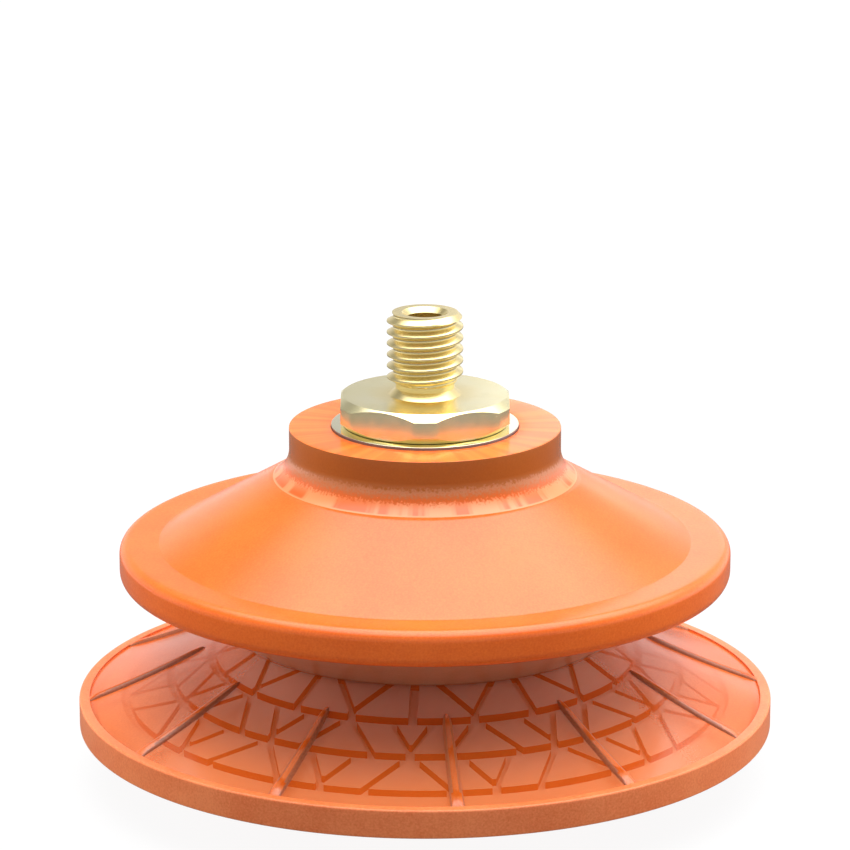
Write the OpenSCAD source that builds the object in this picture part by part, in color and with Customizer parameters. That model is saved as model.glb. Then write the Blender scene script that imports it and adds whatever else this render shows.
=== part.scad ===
// Bellows suction cup with a tread-patterned lip, clamped to a hollow threaded stud.
// Origin: centre of the sealing plane under the lip. +Z points along the axis, up to the stud.

/* [Lip] */
// Diameter of the lip
lip_d = 92; // [91.4:0.1:94]
// Height of the sealing border
border_h = 3.7; // [3.6:0.05:3.9]
// Width of the flat top of the sealing border
border_w = 1.4; // [1.2:0.1:1.7]
// Width of the ring that seals on the work
seal_w = 1.8; // [1.5:0.1:2]
// Thickness of the lip's web
web_t = 1.6; // [1.4:0.1:1.7]
// Radius of the arc that the web's top follows
web_arc_r = 124; // [122:1:125]

/* [Ribs] */
// Number of ribs on top of the lip
rib_count = 12; // [6:1:18]
// Angle of the first rib
rib_start = -84.8; // [-90:0.1:-60]
// Width of a rib at the border
rib_w = 1.8; // [1.5:0.1:2]
// Width of a rib behind its pointed inner end
rib_root_w = 1.2; // [1:0.1:1.4]
// Height of a rib
rib_h = 0.55; // [0.4:0.05:0.8]
// Diameter at the ribs' pointed inner ends
rib_in_d = 58.4; // [56:0.2:62]

/* [Tread] */
// Number of times that the tread repeats round the lip
tread_count = 11; // [9:1:12]
// Angle of the middle of the first repeat
tread_start = -93.2; // [-120:0.1:-60]
// Height of the tread's cleats
tread_h = 0.85; // [0.5:0.05:0.9]
// Width of the slanting cleats
cleat_w = 0.8; // [0.6:0.05:0.9]
// Width of the straight cleats that run outward to a hoop
stem_w = 1.15; // [0.9:0.05:1.3]

/* [Bellows] */
// Height of the moulded cup
cup_h = 40; // [39.8:0.1:41]
// Diameter of the collar
collar_d = 35.7; // [35:0.1:36.5]
// Radius of the fillet between the collar and the upper cone
fillet_r = 4.3; // [3.8:0.1:4.6]
// Slope of the upper cone
cone_angle = 30; // [29:0.5:31]
// Wall thickness of the cones
wall_t = 2.5; // [2.2:0.1:2.6]
// Diameter of the fold's rim
rim_d = 80.6; // [80:0.1:82]
// Height of the rim's flat top
rim_top = 24.6; // [24.4:0.1:24.8]
// Thickness of the rim
rim_t = 4.7; // [4.5:0.1:4.9]
// Edge radius of the rim
rim_edge_r = 1.3; // [1:0.1:1.6]
// Width of the flat ring on top of the rim, rounding included
rim_flat_w = 5.2; // [4.8:0.1:5.4]
// Diameter of the groove between the under cone and the lip
groove_d = 50; // [49:0.2:50.4]
// Height of the groove
groove_z = 12.6; // [12.5:0.05:12.7]
// Diameter of the opening through the waist
waist_d = 44.6; // [43.6:0.1:45]

/* [Stud] */
// Outer diameter of the thread, M10 x 1.5
thread_d = 10; // [10:0.1:10]
// Length of the full thread
thread_len = 8.1; // [8:0.1:8.2]
// Diameter of the vacuum port
port_d = 4.7; // [4:0.1:5]
// Overall height of cup and stud
overall_h = 55.3; // [55.2:0.1:57]
// Size across the hexagon's flats
hex_af = 22; // [21.6:0.1:22]
// Diameter that the hexagon's corners are turned to
hex_turned_d = 23.9; // [23.5:0.1:24]
// Height of the hexagon
hex_h = 3.95; // [3.8:0.05:4.1]
// Diameter of the spigot inside the cup, M16 x 1
spigot_d = 16; // [16:0.1:16]

/* [Clamp] */
// Diameter of the support washer
washer_d = 24.6; // [24.4:0.1:25]
// Thickness of the support washer
washer_t = 1; // [0.9:0.05:1.05]
// Diameter of the clamp insert's flange
flange_d = 31.2; // [29:0.1:31.4]
// Diameter of the clamp insert's hub
hub_d = 21.2; // [20.8:0.1:21.4]

/* [Hidden] */
$fn = 96;

// Clearance between two zones of the moulding, between a fitted piece and its seat, and between
// the web and what stands on its skin
zone_gap = 0.1;
seat_gap = 0.05;
skin_gap = 0.02;

// Heights of the stack on the axis
washer_proud = 0.35;
washer_top = cup_h + washer_proud;
washer_under = washer_top - washer_t;
hex_z = washer_top + seat_gap;
hex_top = hex_z + hex_h;
clamp_z = cup_h - 6;
flange_t = 2.6;
hub_top = clamp_z + 3.4;
spigot_end = clamp_z - 3;
spigot_chamfer = 0.8;

// Filter: a mesh disc held against the spigot's end by a split ring in a groove of the insert
filter_bore_r = 7.4;
mesh_t = 0.5;
mesh_z = spigot_end - mesh_t - seat_gap;
filter_ring_t = 0.8;
filter_ring_r = 7.8;
filter_ring_z = mesh_z - filter_ring_t - seat_gap;
insert_end = filter_ring_z - 1.2;

// The web's top is an arc that leaves the groove at 30 degrees; its centre lies outside the lip
groove_r = groove_d / 2;
web_slope = 30;
arc_c = [groove_r + web_arc_r * sin(web_slope), groove_z + web_arc_r * cos(web_slope)];
border_in_r = lip_d / 2 - border_w;

// Upper cone: a straight slope from the rim's flat top up to the collar's fillet
cone_out_r = rim_d / 2 - rim_flat_w;
function cone_z(r) = rim_top + (cone_out_r - r) * tan(cone_angle);
collar_r = collar_d / 2;
cone_in_r = collar_r + fillet_r * (1 - sin(cone_angle));
fillet_z = cone_z(cone_in_r) + fillet_r * cos(cone_angle);
cone_drop = wall_t / cos(cone_angle);
shoulder_in_r = 16;
root_out_r = cone_in_r + 1.6;

// Under cone: a straight slope from the rim's underside down to the groove
rim_under = rim_top - rim_t;
under_out_r = 37;
under_slope = atan((rim_under - groove_z) / (under_out_r - groove_r));
function under_z(r) = groove_z + (r - groove_r) * tan(under_slope);
under_rise = wall_t / cos(under_slope);
fold_in_r = 35.2;
fold_relief = 0.3;
waist_out_r = groove_r + 1.2;

// Radii where the cleats of the tread's three rings start and where the hoop at their outer end
// starts, and the angles of the cleats from the middle of a repeat
tread_inner = [23.4, 27.8];
tread_middle = [28.9, 33.3];
tread_outer = [34.4, 39.3];
hoop_w = 1;
repeat = 360 / tread_count;
side_in = 15.2;
side_out = 8.5;
vee_in = 4.7;
vee_out = 0.7;
vee_reach = 0.78;
short_vee_in = 7.2;
short_vee_out = 0.5;
short_stem = 0.7;

brass = [0.86, 0.78, 0.50];
polyurethane = [0.96, 0.52, 0.28];
steel = [0.70, 0.71, 0.73];
light_alloy = [0.80, 0.81, 0.83];
black_rubber = [0.08, 0.08, 0.09];

// A point on a circle, given by its radius and angle
function polar(r, a) = [r * cos(a), r * sin(a)];

// Height of the web's arc, a distance below its top, at radius r
function arc_z(r, below) = arc_c[1] - sqrt(pow(web_arc_r + below, 2) - pow(arc_c[0] - r, 2));

// A ring turned from a polygon of [radius, height] points
module turned(points) rotate_extrude() polygon(points);

// A layer that follows the web, between two distances below its top and between two radii
module web_layer(r_in, r_out, from, to) {
    rotate_extrude()
        intersection() {
            translate([r_in, -5]) square([r_out - r_in, groove_z + 10]);
            difference() {
                translate(arc_c) circle(web_arc_r + to, $fn = 720);
                translate(arc_c) circle(web_arc_r + from, $fn = 720);
            }
        }
}

// A straight strip in plan, w wide, from one point to another and a little past both
module strip(a, b, w) {
    d = b - a;
    past = 0.4;
    translate(a)
        rotate(atan2(d[1], d[0]))
            translate([-past, -w / 2]) square([norm(d) + 2 * past, w]);
}

// Cleats of a ring's repeat: a vee that opens inward, its stem, and a slanting one on each side
module repeat_cleats(ring) {
    vee_r = ring[0] + vee_reach * (ring[1] - ring[0]);
    for (s = [-1, 1]) {
        strip(polar(ring[0], s * vee_in), polar(vee_r, s * vee_out), cleat_w);
        strip(polar(ring[0], s * side_in), polar(ring[1], s * side_out), cleat_w);
    }
    strip(polar(vee_r, 0), polar(ring[1], 0), stem_w);
}

// Raised cleats under the web, drawn once per repeat, that a hoop joins at their outer ends
module tread(ring, turn) {
    color(polyurethane)
        intersection() {
            web_layer(ring[0], ring[1] + hoop_w, web_t + skin_gap, web_t + tread_h);
            union() {
                rotate_extrude() translate([ring[1], 0]) square([hoop_w + 1, groove_z]);
                for (i = [0 : tread_count - 1])
                    rotate(tread_start + turn + i * repeat)
                        linear_extrude(groove_z) children();
            }
        }
}

// The thread is drawn as a plain cylinder of its outer diameter
module stud_thread() {
    thread_r = thread_d / 2;
    tip_chamfer = 0.7;
    thread_end = overall_h - tip_chamfer;
    thread_start = thread_end - thread_len;
    neck_r = 3.85;
    foot_r = 4.75;
    foot_h = 0.9;
    run_out = 0.6;
    turned([[0, hex_z], [foot_r, hex_z], [foot_r, hex_top], [neck_r, hex_top + foot_h],
        [neck_r, thread_start - run_out], [thread_r, thread_start], [thread_r, thread_end],
        [thread_r - tip_chamfer, overall_h], [0, overall_h]]);
}

// The hexagon, with its corners turned down and its top and bottom edges chamfered
module stud_hexagon() {
    face_r = 10.8;
    lower_chamfer = 1.05;
    upper_chamfer = 0.85;
    turned_r = hex_turned_d / 2;
    intersection() {
        translate([0, 0, hex_z])
            rotate(30) cylinder(r = hex_af / 2 / cos(30), h = hex_h, $fn = 6);
        turned([[0, hex_z], [face_r, hex_z], [turned_r, hex_z + lower_chamfer],
            [turned_r, hex_top - upper_chamfer], [face_r, hex_top], [0, hex_top]]);
    }
}

module stud_spigot() {
    spigot_r = spigot_d / 2;
    turned([[0, spigot_end], [spigot_r - spigot_chamfer, spigot_end],
        [spigot_r, spigot_end + spigot_chamfer], [spigot_r, hex_z + 1], [0, hex_z + 1]]);
}

module threaded_stud() {
    port_r = port_d / 2;
    wide_port_r = 4;
    wide_port_h = 7;
    sink = 0.65;
    color(brass)
        difference() {
            union() {
                stud_thread();
                stud_hexagon();
                stud_spigot();
            }
            translate([0, 0, spigot_end - 1]) cylinder(r = port_r, h = overall_h);
            translate([0, 0, spigot_end - 1]) cylinder(r = wide_port_r, h = wide_port_h + 1);
            translate([0, 0, overall_h - sink])
                cylinder(r1 = port_r, r2 = port_r + 2 * sink, h = 2 * sink);
        }
}

module support_washer() {
    color(brass)
        translate([0, 0, washer_under])
            difference() {
                cylinder(d = washer_d, h = washer_t);
                translate([0, 0, -1]) cylinder(d = spigot_d + 2 * seat_gap, h = washer_t + 2);
            }
}

module spigot_seal_ring() {
    section_r = 0.89;
    color(black_rubber)
        rotate_extrude()
            translate([spigot_d / 2 + section_r + seat_gap, washer_under - section_r - seat_gap])
                circle(section_r, $fn = 48);
}

module clamp_insert() {
    skirt_r = 9.6;
    thread_z = spigot_end - seat_gap / 2;
    color(light_alloy)
        difference() {
            turned([[filter_bore_r, insert_end], [skirt_r, insert_end],
                [skirt_r, clamp_z - flange_t], [flange_d / 2, clamp_z - flange_t],
                [flange_d / 2, clamp_z], [hub_d / 2, clamp_z], [hub_d / 2, hub_top],
                [filter_bore_r, hub_top]]);
            translate([0, 0, thread_z]) cylinder(d = spigot_d + 2 * seat_gap, h = cup_h);
            translate([0, 0, filter_ring_z - seat_gap])
                cylinder(r = filter_ring_r + seat_gap, h = filter_ring_t + 2 * seat_gap);
        }
}

module filter_mesh() {
    color(steel)
        translate([0, 0, mesh_z]) cylinder(r = filter_bore_r - seat_gap, h = mesh_t);
}

module filter_retaining_ring() {
    ring_w = 1.4;
    slit_w = 2.4;
    color(steel)
        translate([0, 0, filter_ring_z])
            difference() {
                cylinder(r = filter_ring_r, h = filter_ring_t);
                translate([0, 0, -1]) cylinder(r = filter_ring_r - ring_w, h = filter_ring_t + 2);
                translate([0, -slit_w / 2, -1]) cube([filter_ring_r + 1, slit_w, filter_ring_t + 2]);
            }
}

module cup_collar() {
    recess_r = washer_d / 2 + seat_gap;
    recess_z = washer_under - seat_gap;
    hole_r = hub_d / 2 + seat_gap;
    color(polyurethane)
        turned([[hole_r, clamp_z + seat_gap], [shoulder_in_r - zone_gap, clamp_z + seat_gap],
            [shoulder_in_r - zone_gap, fillet_z + zone_gap], [collar_r, fillet_z + zone_gap],
            [collar_r, cup_h], [recess_r, cup_h], [recess_r, recess_z], [hole_r, recess_z]]);
}

// The fillet between the collar's side and the upper cone, with the wall behind it
module collar_shoulder() {
    inner_r = cone_in_r - wall_t * sin(cone_angle);
    inner_z = cone_z(cone_in_r) - wall_t * cos(cone_angle);
    centre = [collar_r + fillet_r, fillet_z];
    color(polyurethane)
        rotate_extrude()
            difference() {
                polygon([[shoulder_in_r, fillet_z], centre, [cone_in_r, cone_z(cone_in_r)],
                    [inner_r, inner_z],
                    [shoulder_in_r, inner_z + (inner_r - shoulder_in_r) * tan(cone_angle)]]);
                translate(centre) circle(fillet_r);
            }
}

// A stretch of the upper cone's wall, cut square to its slope, between two outer radii
module cone_wall(r_in, r_out) {
    back = wall_t * sin(cone_angle);
    down = wall_t * cos(cone_angle);
    turned([[r_in, cone_z(r_in)], [r_out, cone_z(r_out)], [r_out - back, cone_z(r_out) - down],
        [r_in - back, cone_z(r_in) - down]]);
}

module cone_root() {
    color(polyurethane) cone_wall(cone_in_r + zone_gap, root_out_r);
}

module upper_cone() {
    r_in = root_out_r + zone_gap;
    back = wall_t * sin(cone_angle);
    down = wall_t * cos(cone_angle);
    r_end = fold_in_r - zone_gap;
    color(polyurethane)
        turned([[r_in, cone_z(r_in)], [r_end, cone_z(r_end)], [r_end, cone_z(r_end) - cone_drop],
            [r_in - back, cone_z(r_in) - down]]);
}

module fold_rim() {
    rim_r = rim_d / 2;
    core_r = rim_r - rim_edge_r;
    color(polyurethane)
        rotate_extrude() {
            polygon([[fold_in_r, under_z(fold_in_r)], [under_out_r, rim_under],
                [core_r, rim_under], [core_r, rim_top], [fold_in_r, rim_top]]);
            translate([core_r - 1, rim_under + rim_edge_r])
                square([rim_edge_r + 1, rim_t - 2 * rim_edge_r]);
            translate([core_r, rim_top - rim_edge_r]) circle(rim_edge_r);
            translate([core_r, rim_under + rim_edge_r]) circle(rim_edge_r);
        }
}

module under_cone() {
    r_in = waist_out_r + zone_gap;
    r_out = fold_in_r - zone_gap;
    color(polyurethane)
        turned([[r_in, under_z(r_in)], [r_out, under_z(r_out)],
            [r_out, under_z(r_out) + under_rise - fold_relief],
            [r_in, under_z(r_in) + under_rise]]);
}

// The waist, where the under cone and the lip meet in a vee-shaped groove
module waist_ring() {
    waist_r = waist_d / 2;
    bevel = 0.5;
    bevel_z = under_z(waist_r + bevel) + under_rise;
    color(polyurethane)
        turned([[waist_r, arc_z(waist_r, web_t)], [waist_r, bevel_z - bevel],
            [waist_r + bevel, bevel_z], [waist_out_r, under_z(waist_out_r) + under_rise],
            [waist_out_r, under_z(waist_out_r)], [groove_r, groove_z],
            [waist_out_r, arc_z(waist_out_r, 0)], [waist_out_r, arc_z(waist_out_r, web_t)]]);
}

module lip_web() {
    color(polyurethane) web_layer(waist_out_r + zone_gap, border_in_r - zone_gap, 0, web_t);
}

module lip_ribs() {
    point_len = 2.2;
    r_in = rib_in_d / 2;
    r_out = border_in_r - zone_gap;
    root_half = rib_root_w / 2;
    end_half = rib_w / 2;
    color(polyurethane)
        intersection() {
            web_layer(r_in, r_out, -rib_h, -skin_gap);
            for (i = [0 : rib_count - 1])
                rotate(rib_start + i * 360 / rib_count)
                    linear_extrude(groove_z)
                        polygon([[r_in, 0], [r_in + point_len, -root_half], [r_out + 1, -end_half],
                            [r_out + 1, end_half], [r_in + point_len, root_half]]);
        }
}

// The innermost ring has a straight cleat and a short vee in turn
module inner_tread() {
    half = repeat / 2;
    vee_r = tread_inner[1] - short_stem;
    tread(tread_inner, 0) {
        strip(polar(tread_inner[0], 0), polar(tread_inner[1], 0), stem_w);
        for (s = [-1, 1])
            strip(polar(tread_inner[0], half + s * short_vee_in),
                polar(vee_r, half + s * short_vee_out), cleat_w);
        strip(polar(vee_r, half), polar(tread_inner[1], half), stem_w);
    }
}

module middle_tread() {
    tread(tread_middle, 0) repeat_cleats(tread_middle);
}

module outer_tread() {
    tread(tread_outer, repeat / 2) repeat_cleats(tread_outer);
}

module lip_border() {
    r = lip_d / 2;
    edge_r = 0.3;
    seal_in_r = r - seal_w;
    foot_z = arc_z(border_in_r, web_t) - zone_gap;
    foot_lean = 0.6;
    color(polyurethane)
        rotate_extrude() {
            polygon([[seal_in_r, 0], [r, 0], [r, border_h - edge_r], [r - edge_r, border_h - edge_r],
                [r - edge_r, border_h], [border_in_r, border_h], [border_in_r, foot_z],
                [seal_in_r - foot_lean, foot_z]]);
            translate([r - edge_r, border_h - edge_r]) circle(edge_r);
        }
}

threaded_stud();
support_washer();
spigot_seal_ring();
clamp_insert();
filter_mesh();
filter_retaining_ring();
cup_collar();
collar_shoulder();
cone_root();
upper_cone();
fold_rim();
under_cone();
waist_ring();
lip_web();
lip_ribs();
inner_tread();
middle_tread();
outer_tread();
lip_border();
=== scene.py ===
"""Looks of a bellows suction cup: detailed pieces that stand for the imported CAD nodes, with their materials.

Outlines are worked out in millimetres, as (radius, height) points about the cup's axis.
"""
import math

import bmesh
import bpy
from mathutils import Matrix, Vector
from mathutils.geometry import delaunay_2d_cdt


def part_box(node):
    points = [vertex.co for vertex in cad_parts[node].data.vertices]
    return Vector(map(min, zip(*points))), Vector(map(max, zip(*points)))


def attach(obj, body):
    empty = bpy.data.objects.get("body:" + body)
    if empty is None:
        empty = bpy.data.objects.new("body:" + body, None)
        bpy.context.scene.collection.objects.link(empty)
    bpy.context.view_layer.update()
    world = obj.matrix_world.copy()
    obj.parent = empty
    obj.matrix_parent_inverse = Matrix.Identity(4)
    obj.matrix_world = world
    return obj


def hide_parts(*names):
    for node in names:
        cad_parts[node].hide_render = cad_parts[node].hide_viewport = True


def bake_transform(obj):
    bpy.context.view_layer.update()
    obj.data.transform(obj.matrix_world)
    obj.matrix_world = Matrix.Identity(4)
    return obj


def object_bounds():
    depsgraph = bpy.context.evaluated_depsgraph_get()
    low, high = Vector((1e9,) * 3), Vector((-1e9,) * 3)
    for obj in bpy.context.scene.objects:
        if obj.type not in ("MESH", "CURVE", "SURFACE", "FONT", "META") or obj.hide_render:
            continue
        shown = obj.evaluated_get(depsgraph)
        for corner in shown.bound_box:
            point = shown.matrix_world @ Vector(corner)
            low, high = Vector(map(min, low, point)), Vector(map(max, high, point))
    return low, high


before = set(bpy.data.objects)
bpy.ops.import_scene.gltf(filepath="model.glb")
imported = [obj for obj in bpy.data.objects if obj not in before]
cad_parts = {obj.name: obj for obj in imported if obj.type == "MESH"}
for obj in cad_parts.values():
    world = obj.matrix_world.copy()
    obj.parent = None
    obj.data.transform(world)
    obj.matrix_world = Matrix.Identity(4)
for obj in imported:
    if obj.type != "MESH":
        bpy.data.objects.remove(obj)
cad_low, cad_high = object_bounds()

MM = 0.001


def low(node, axis=2):
    """Lowest coordinate of a CAD node, in mm."""
    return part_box(node)[0][axis] / MM


def high(node, axis=2):
    """Highest coordinate of a CAD node, in mm."""
    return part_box(node)[1][axis] / MM


def radius(node):
    """Outer radius of a turned CAD node, in mm."""
    return high(node, 1)


# --- Sizes, in mm. Those that the frame gives are read from it ---

LIP_R = radius("lip_border")
BORDER_TOP = high("lip_border")
BORDER_W = 1.4
BORDER_IN_R = LIP_R - BORDER_W
SEAL_W = 1.8
FOOT_LEAN = 0.6

CUP_TOP = high("cup_collar")
COLLAR_R = radius("cup_collar")
COLLAR_UNDER = low("cup_collar")
COLLAR_HOLE_R = 10.65
POCKET_R = 16.0
FILLET_R = 4.3

RIM_R = radius("fold_rim")
RIM_TOP = high("fold_rim")
RIM_FLAT_W = 5.2
RIM_EDGE_R = 1.3
RIM_UNDER = RIM_TOP - 4.7
CONE_FOOT_R = RIM_R - RIM_FLAT_W
CONE_TAN = math.tan(math.radians(30))
WALL_T = 2.5
CONE_DROP = WALL_T / math.cos(math.radians(30))

GROOVE_R = 25.0
GROOVE_Z = 12.6
UNDER_R = 37.0
UNDER_TAN = (RIM_UNDER - GROOVE_Z) / (UNDER_R - GROOVE_R)
UNDER_RISE = WALL_T * math.hypot(1, UNDER_TAN)
WAIST_R = 22.3

WEB_T = 1.6
WEB_ARC_R = 124.0
WEB_ARC_C = (GROOVE_R + WEB_ARC_R / 2, GROOVE_Z + WEB_ARC_R * math.cos(math.radians(30)))

RIB_COUNT = 12
RIB_START = math.radians(-84.8)
RIB_W = 1.8
RIB_ROOT_W = 1.2
RIB_H = 0.55
RIB_IN_R = 29.2
RIB_POINT = 2.6

TREAD_COUNT = 11
TREAD_START = math.radians(-93.2)
TREAD_H = 0.85
CLEAT_W = 0.8
STEM_W = 1.15
HOOP_W = 1.1
TREAD_INNER = (22.7, 27.8)
TREAD_MIDDLE = (28.9, 33.3)
TREAD_OUTER = (34.4, 39.3)
# Angles in degrees, from a group's middle, at which its cleats start and end
VEE_ANGLES = (4.7, 0.7)
SLANT_ANGLES = (15.2, 8.5)
INNER_VEE_ANGLES = (8.5, 0.5)
VEE_REACH = 0.78
INNER_SET_BACK = 0.3
INNER_STEM = 0.7
# Circles between the tread's edges, which keep the underside's triangles small
FILLING_CIRCLES = (24.9, 26.3, 30.4, 31.9, 36.0, 37.7, 41.4, 42.5)
CIRCLE_POINTS = 360

PITCH = 1.5
THREAD_R = 5.0
THREAD_LENGTH = 8.1
THREAD_DEPTH = 0.86
# The roots' deeper gold, a painted reflection of the orange cup and painted shade, fades between these radii,
# and between these depths below the stud's top
ROOT_SHADE_R = (4.2, 4.5)
ROOT_SHADE_DROPS = (0.4, 0.1)
STUD_TOP = high("threaded_stud")
STUD_END = low("threaded_stud")
HEX_AF = high("threaded_stud", 0) - low("threaded_stud", 0)
HEX_TURNED_R = 11.95
HEX_FACE_R = 10.8
HEX_H = 3.95
WASHER_TOP = high("support_washer")
WASHER_UNDER = low("support_washer")
WASHER_R = radius("support_washer")
HEX_Z = WASHER_TOP + 0.05
HEX_TOP = HEX_Z + HEX_H
SPIGOT_R = 8.0
SPIGOT_PITCH = 1.0
SPIGOT_THREAD_LENGTH = 6.5
SPIGOT_THREAD_DEPTH = 0.55

# The lip dips 6.5 mm below its rest height when both tilts are at a limit
FLOOR_DROP = 7.2


def cone_z(r):
    """Height of the upper cone's outer face."""
    return RIM_TOP + (CONE_FOOT_R - r) * CONE_TAN


def under_z(r):
    """Height of the under cone's outer face."""
    return GROOVE_Z + (r - GROOVE_R) * UNDER_TAN


def web_z(r, below=0.0):
    """Height of the lip's arc, a distance below its top."""
    return WEB_ARC_C[1] - math.sqrt((WEB_ARC_R + below) ** 2 - (WEB_ARC_C[0] - r) ** 2)


SHOULDER_Z = cone_z(COLLAR_R) + FILLET_R / math.tan(math.radians(60))
SEAM_R = COLLAR_R + FILLET_R * 0.5
SEAM_Z = cone_z(SEAM_R)

# --- Node trees ---


class Tree:
    """A short way to write a node tree."""

    def __init__(self, owner):
        owner.use_nodes = True
        self.tree = owner.node_tree
        self.tree.nodes.clear()

    def node(self, kind, **values):
        made = self.tree.nodes.new("ShaderNode" + kind)
        for key, value in values.items():
            if hasattr(made, key):
                setattr(made, key, value)
            else:
                self.put(made, key.replace("_", " "), value)
        return made

    def put(self, node, socket, value):
        """A socket's value, or the socket that feeds it."""
        target = node.inputs[socket]
        if isinstance(value, bpy.types.NodeSocket):
            self.tree.links.new(value, target)
        else:
            target.default_value = value

    def ramp(self, factor, stops, interpolation="LINEAR"):
        """A colour ramp of (position, grey or colour) stops."""
        made = self.node("ValToRGB")
        made.color_ramp.interpolation = interpolation
        elements = made.color_ramp.elements
        while len(elements) < len(stops):
            elements.new(0.5)
        for element, (position, value) in zip(elements, stops):
            element.position = position
            colour = value if isinstance(value, tuple) else (value,) * 3
            element.color = (*colour, 1)
        self.put(made, "Fac", factor)
        return made.outputs["Color"]

    def span(self, factor, low_value, high_value):
        """A factor from 0 to 1 stretched between two values."""
        made = self.node("MapRange")
        self.put(made, "Value", factor)
        self.put(made, "To Min", low_value)
        self.put(made, "To Max", high_value)
        return made.outputs["Result"]

    def noise(self, where, scale, detail=2.0, stretch=None):
        """Noise at so many lumps a metre."""
        if stretch:
            mapping = self.node("Mapping")
            self.put(mapping, "Vector", where)
            self.put(mapping, "Scale", stretch)
            where = mapping.outputs["Vector"]
        made = self.node("TexNoise")
        self.put(made, "Vector", where)
        self.put(made, "Scale", scale)
        self.put(made, "Detail", detail)
        return made.outputs["Fac"]

    def plan(self, where):
        """The place in plan, and the height."""
        split = self.node("SeparateXYZ")
        self.put(split, "Vector", where)
        flat = self.node("CombineXYZ")
        self.put(flat, "X", split.outputs["X"])
        self.put(flat, "Y", split.outputs["Y"])
        return flat.outputs["Vector"], split.outputs["Z"]

    def reach(self, where):
        """Distance from the axis."""
        made = self.node("VectorMath", operation="LENGTH")
        self.put(made, 0, self.plan(where)[0])
        return made.outputs["Value"]

    def streaks(self, where, scale):
        """Noise that changes only round the axis."""
        made = self.node("VectorMath", operation="NORMALIZE")
        self.put(made, 0, self.plan(where)[0])
        return self.noise(made.outputs["Vector"], scale, 3)

    def blend(self, factor, first, second):
        """A mix of two colours."""
        made = self.node("Mix", data_type="RGBA")
        self.put(made, 0, factor)
        self.put(made, 6, first)
        self.put(made, 7, second)
        return made.outputs[2]

    def bump(self, height, distance, strength=1.0, normal=None):
        made = self.node("Bump")
        self.put(made, "Height", height)
        self.put(made, "Distance", distance)
        self.put(made, "Strength", strength)
        if normal is not None:
            self.put(made, "Normal", normal)
        return made.outputs["Normal"]


def new_material(name):
    material = bpy.data.materials.new(name)
    tree = Tree(material)
    shader = tree.node("BsdfPrincipled")
    out = tree.node("OutputMaterial")
    tree.put(out, "Surface", shader.outputs["BSDF"])
    where = tree.node("TexCoord").outputs["Object"]
    return material, tree, shader, where


def polyurethane(name, colour, deep, subsurface, rough=0.2):
    """Glossy cast polyurethane: soft clouds of colour, fine orange peel and a faint grain."""
    material, tree, shader, where = new_material(name)
    clouds = tree.blend(0.5, tree.noise(where, 90, 3), tree.noise(where, 3600, 1))
    tree.put(shader, "Base Color", tree.ramp(clouds, [(0.35, deep), (0.62, colour)]))
    smears = tree.noise(where, 160, 4, (1, 1, 0.35))
    tree.put(shader, "Roughness", tree.span(smears, rough - 0.05, rough + 0.07))
    grain = tree.bump(tree.noise(where, 5200, 2), 0.00002, 0.25)
    peel = tree.bump(tree.noise(where, 420, 2), 0.00006, 0.12, grain)
    tree.put(shader, "Normal", peel)
    tree.put(shader, "IOR", 1.5)
    tree.put(shader, "Subsurface Weight", subsurface)
    tree.put(shader, "Subsurface Radius", (1.0, 0.32, 0.12))
    tree.put(shader, "Subsurface Scale", 0.001)
    return material, tree, shader, where


def clear_skin(name, clearness):
    """Polyurethane thin enough that the faces below it show through, less so at a grazing angle."""
    material, tree, shader, _ = polyurethane(name, PU_COLOUR, PU_DEEP, 0.0, 0.16)
    tree.put(shader, "Specular IOR Level", 0.5 / (1 - clearness))
    both = tree.node("MixShader")
    through = tree.span(tree.node("LayerWeight", Blend=0.5).outputs["Facing"], clearness, 0.04)
    through.node.inputs["From Min"].default_value = 0.45
    through.node.inputs["From Max"].default_value = 0.78
    out = shader.outputs[0].links[0].to_node
    tree.put(both, 0, through)
    tree.put(both, 1, shader.outputs[0])
    tree.put(both, 2, tree.node("BsdfTransparent").outputs[0])
    tree.put(out, "Surface", both.outputs[0])
    return material


def under_face(name, inner, outer):
    """Polyurethane that, seen from its inner side through the clear skin above, takes a colour that changes
    with the radius: a painted sheen or painted shade in place of the light that comes through the lip.
    """
    material, tree, shader, where = polyurethane(name, PU_COLOUR, PU_DEEP, 0.0, 0.3)
    outside = shader.inputs["Base Color"].links[0].from_socket
    seen = tree.ramp(tree.reach(where), [(0.028, inner), (0.041, outer)])
    tree.put(shader, "Base Color", tree.blend(tree.node("NewGeometry").outputs["Backfacing"], outside, seen))
    return material


def streaked(name, colour, deep):
    """Polyurethane with streaks that run out from the axis."""
    material, tree, shader, where = polyurethane(name, colour, deep, 0.1)
    tree.put(shader, "Base Color", tree.ramp(tree.streaks(where, 9), [(0.4, deep), (0.6, colour)]))
    return material


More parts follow.
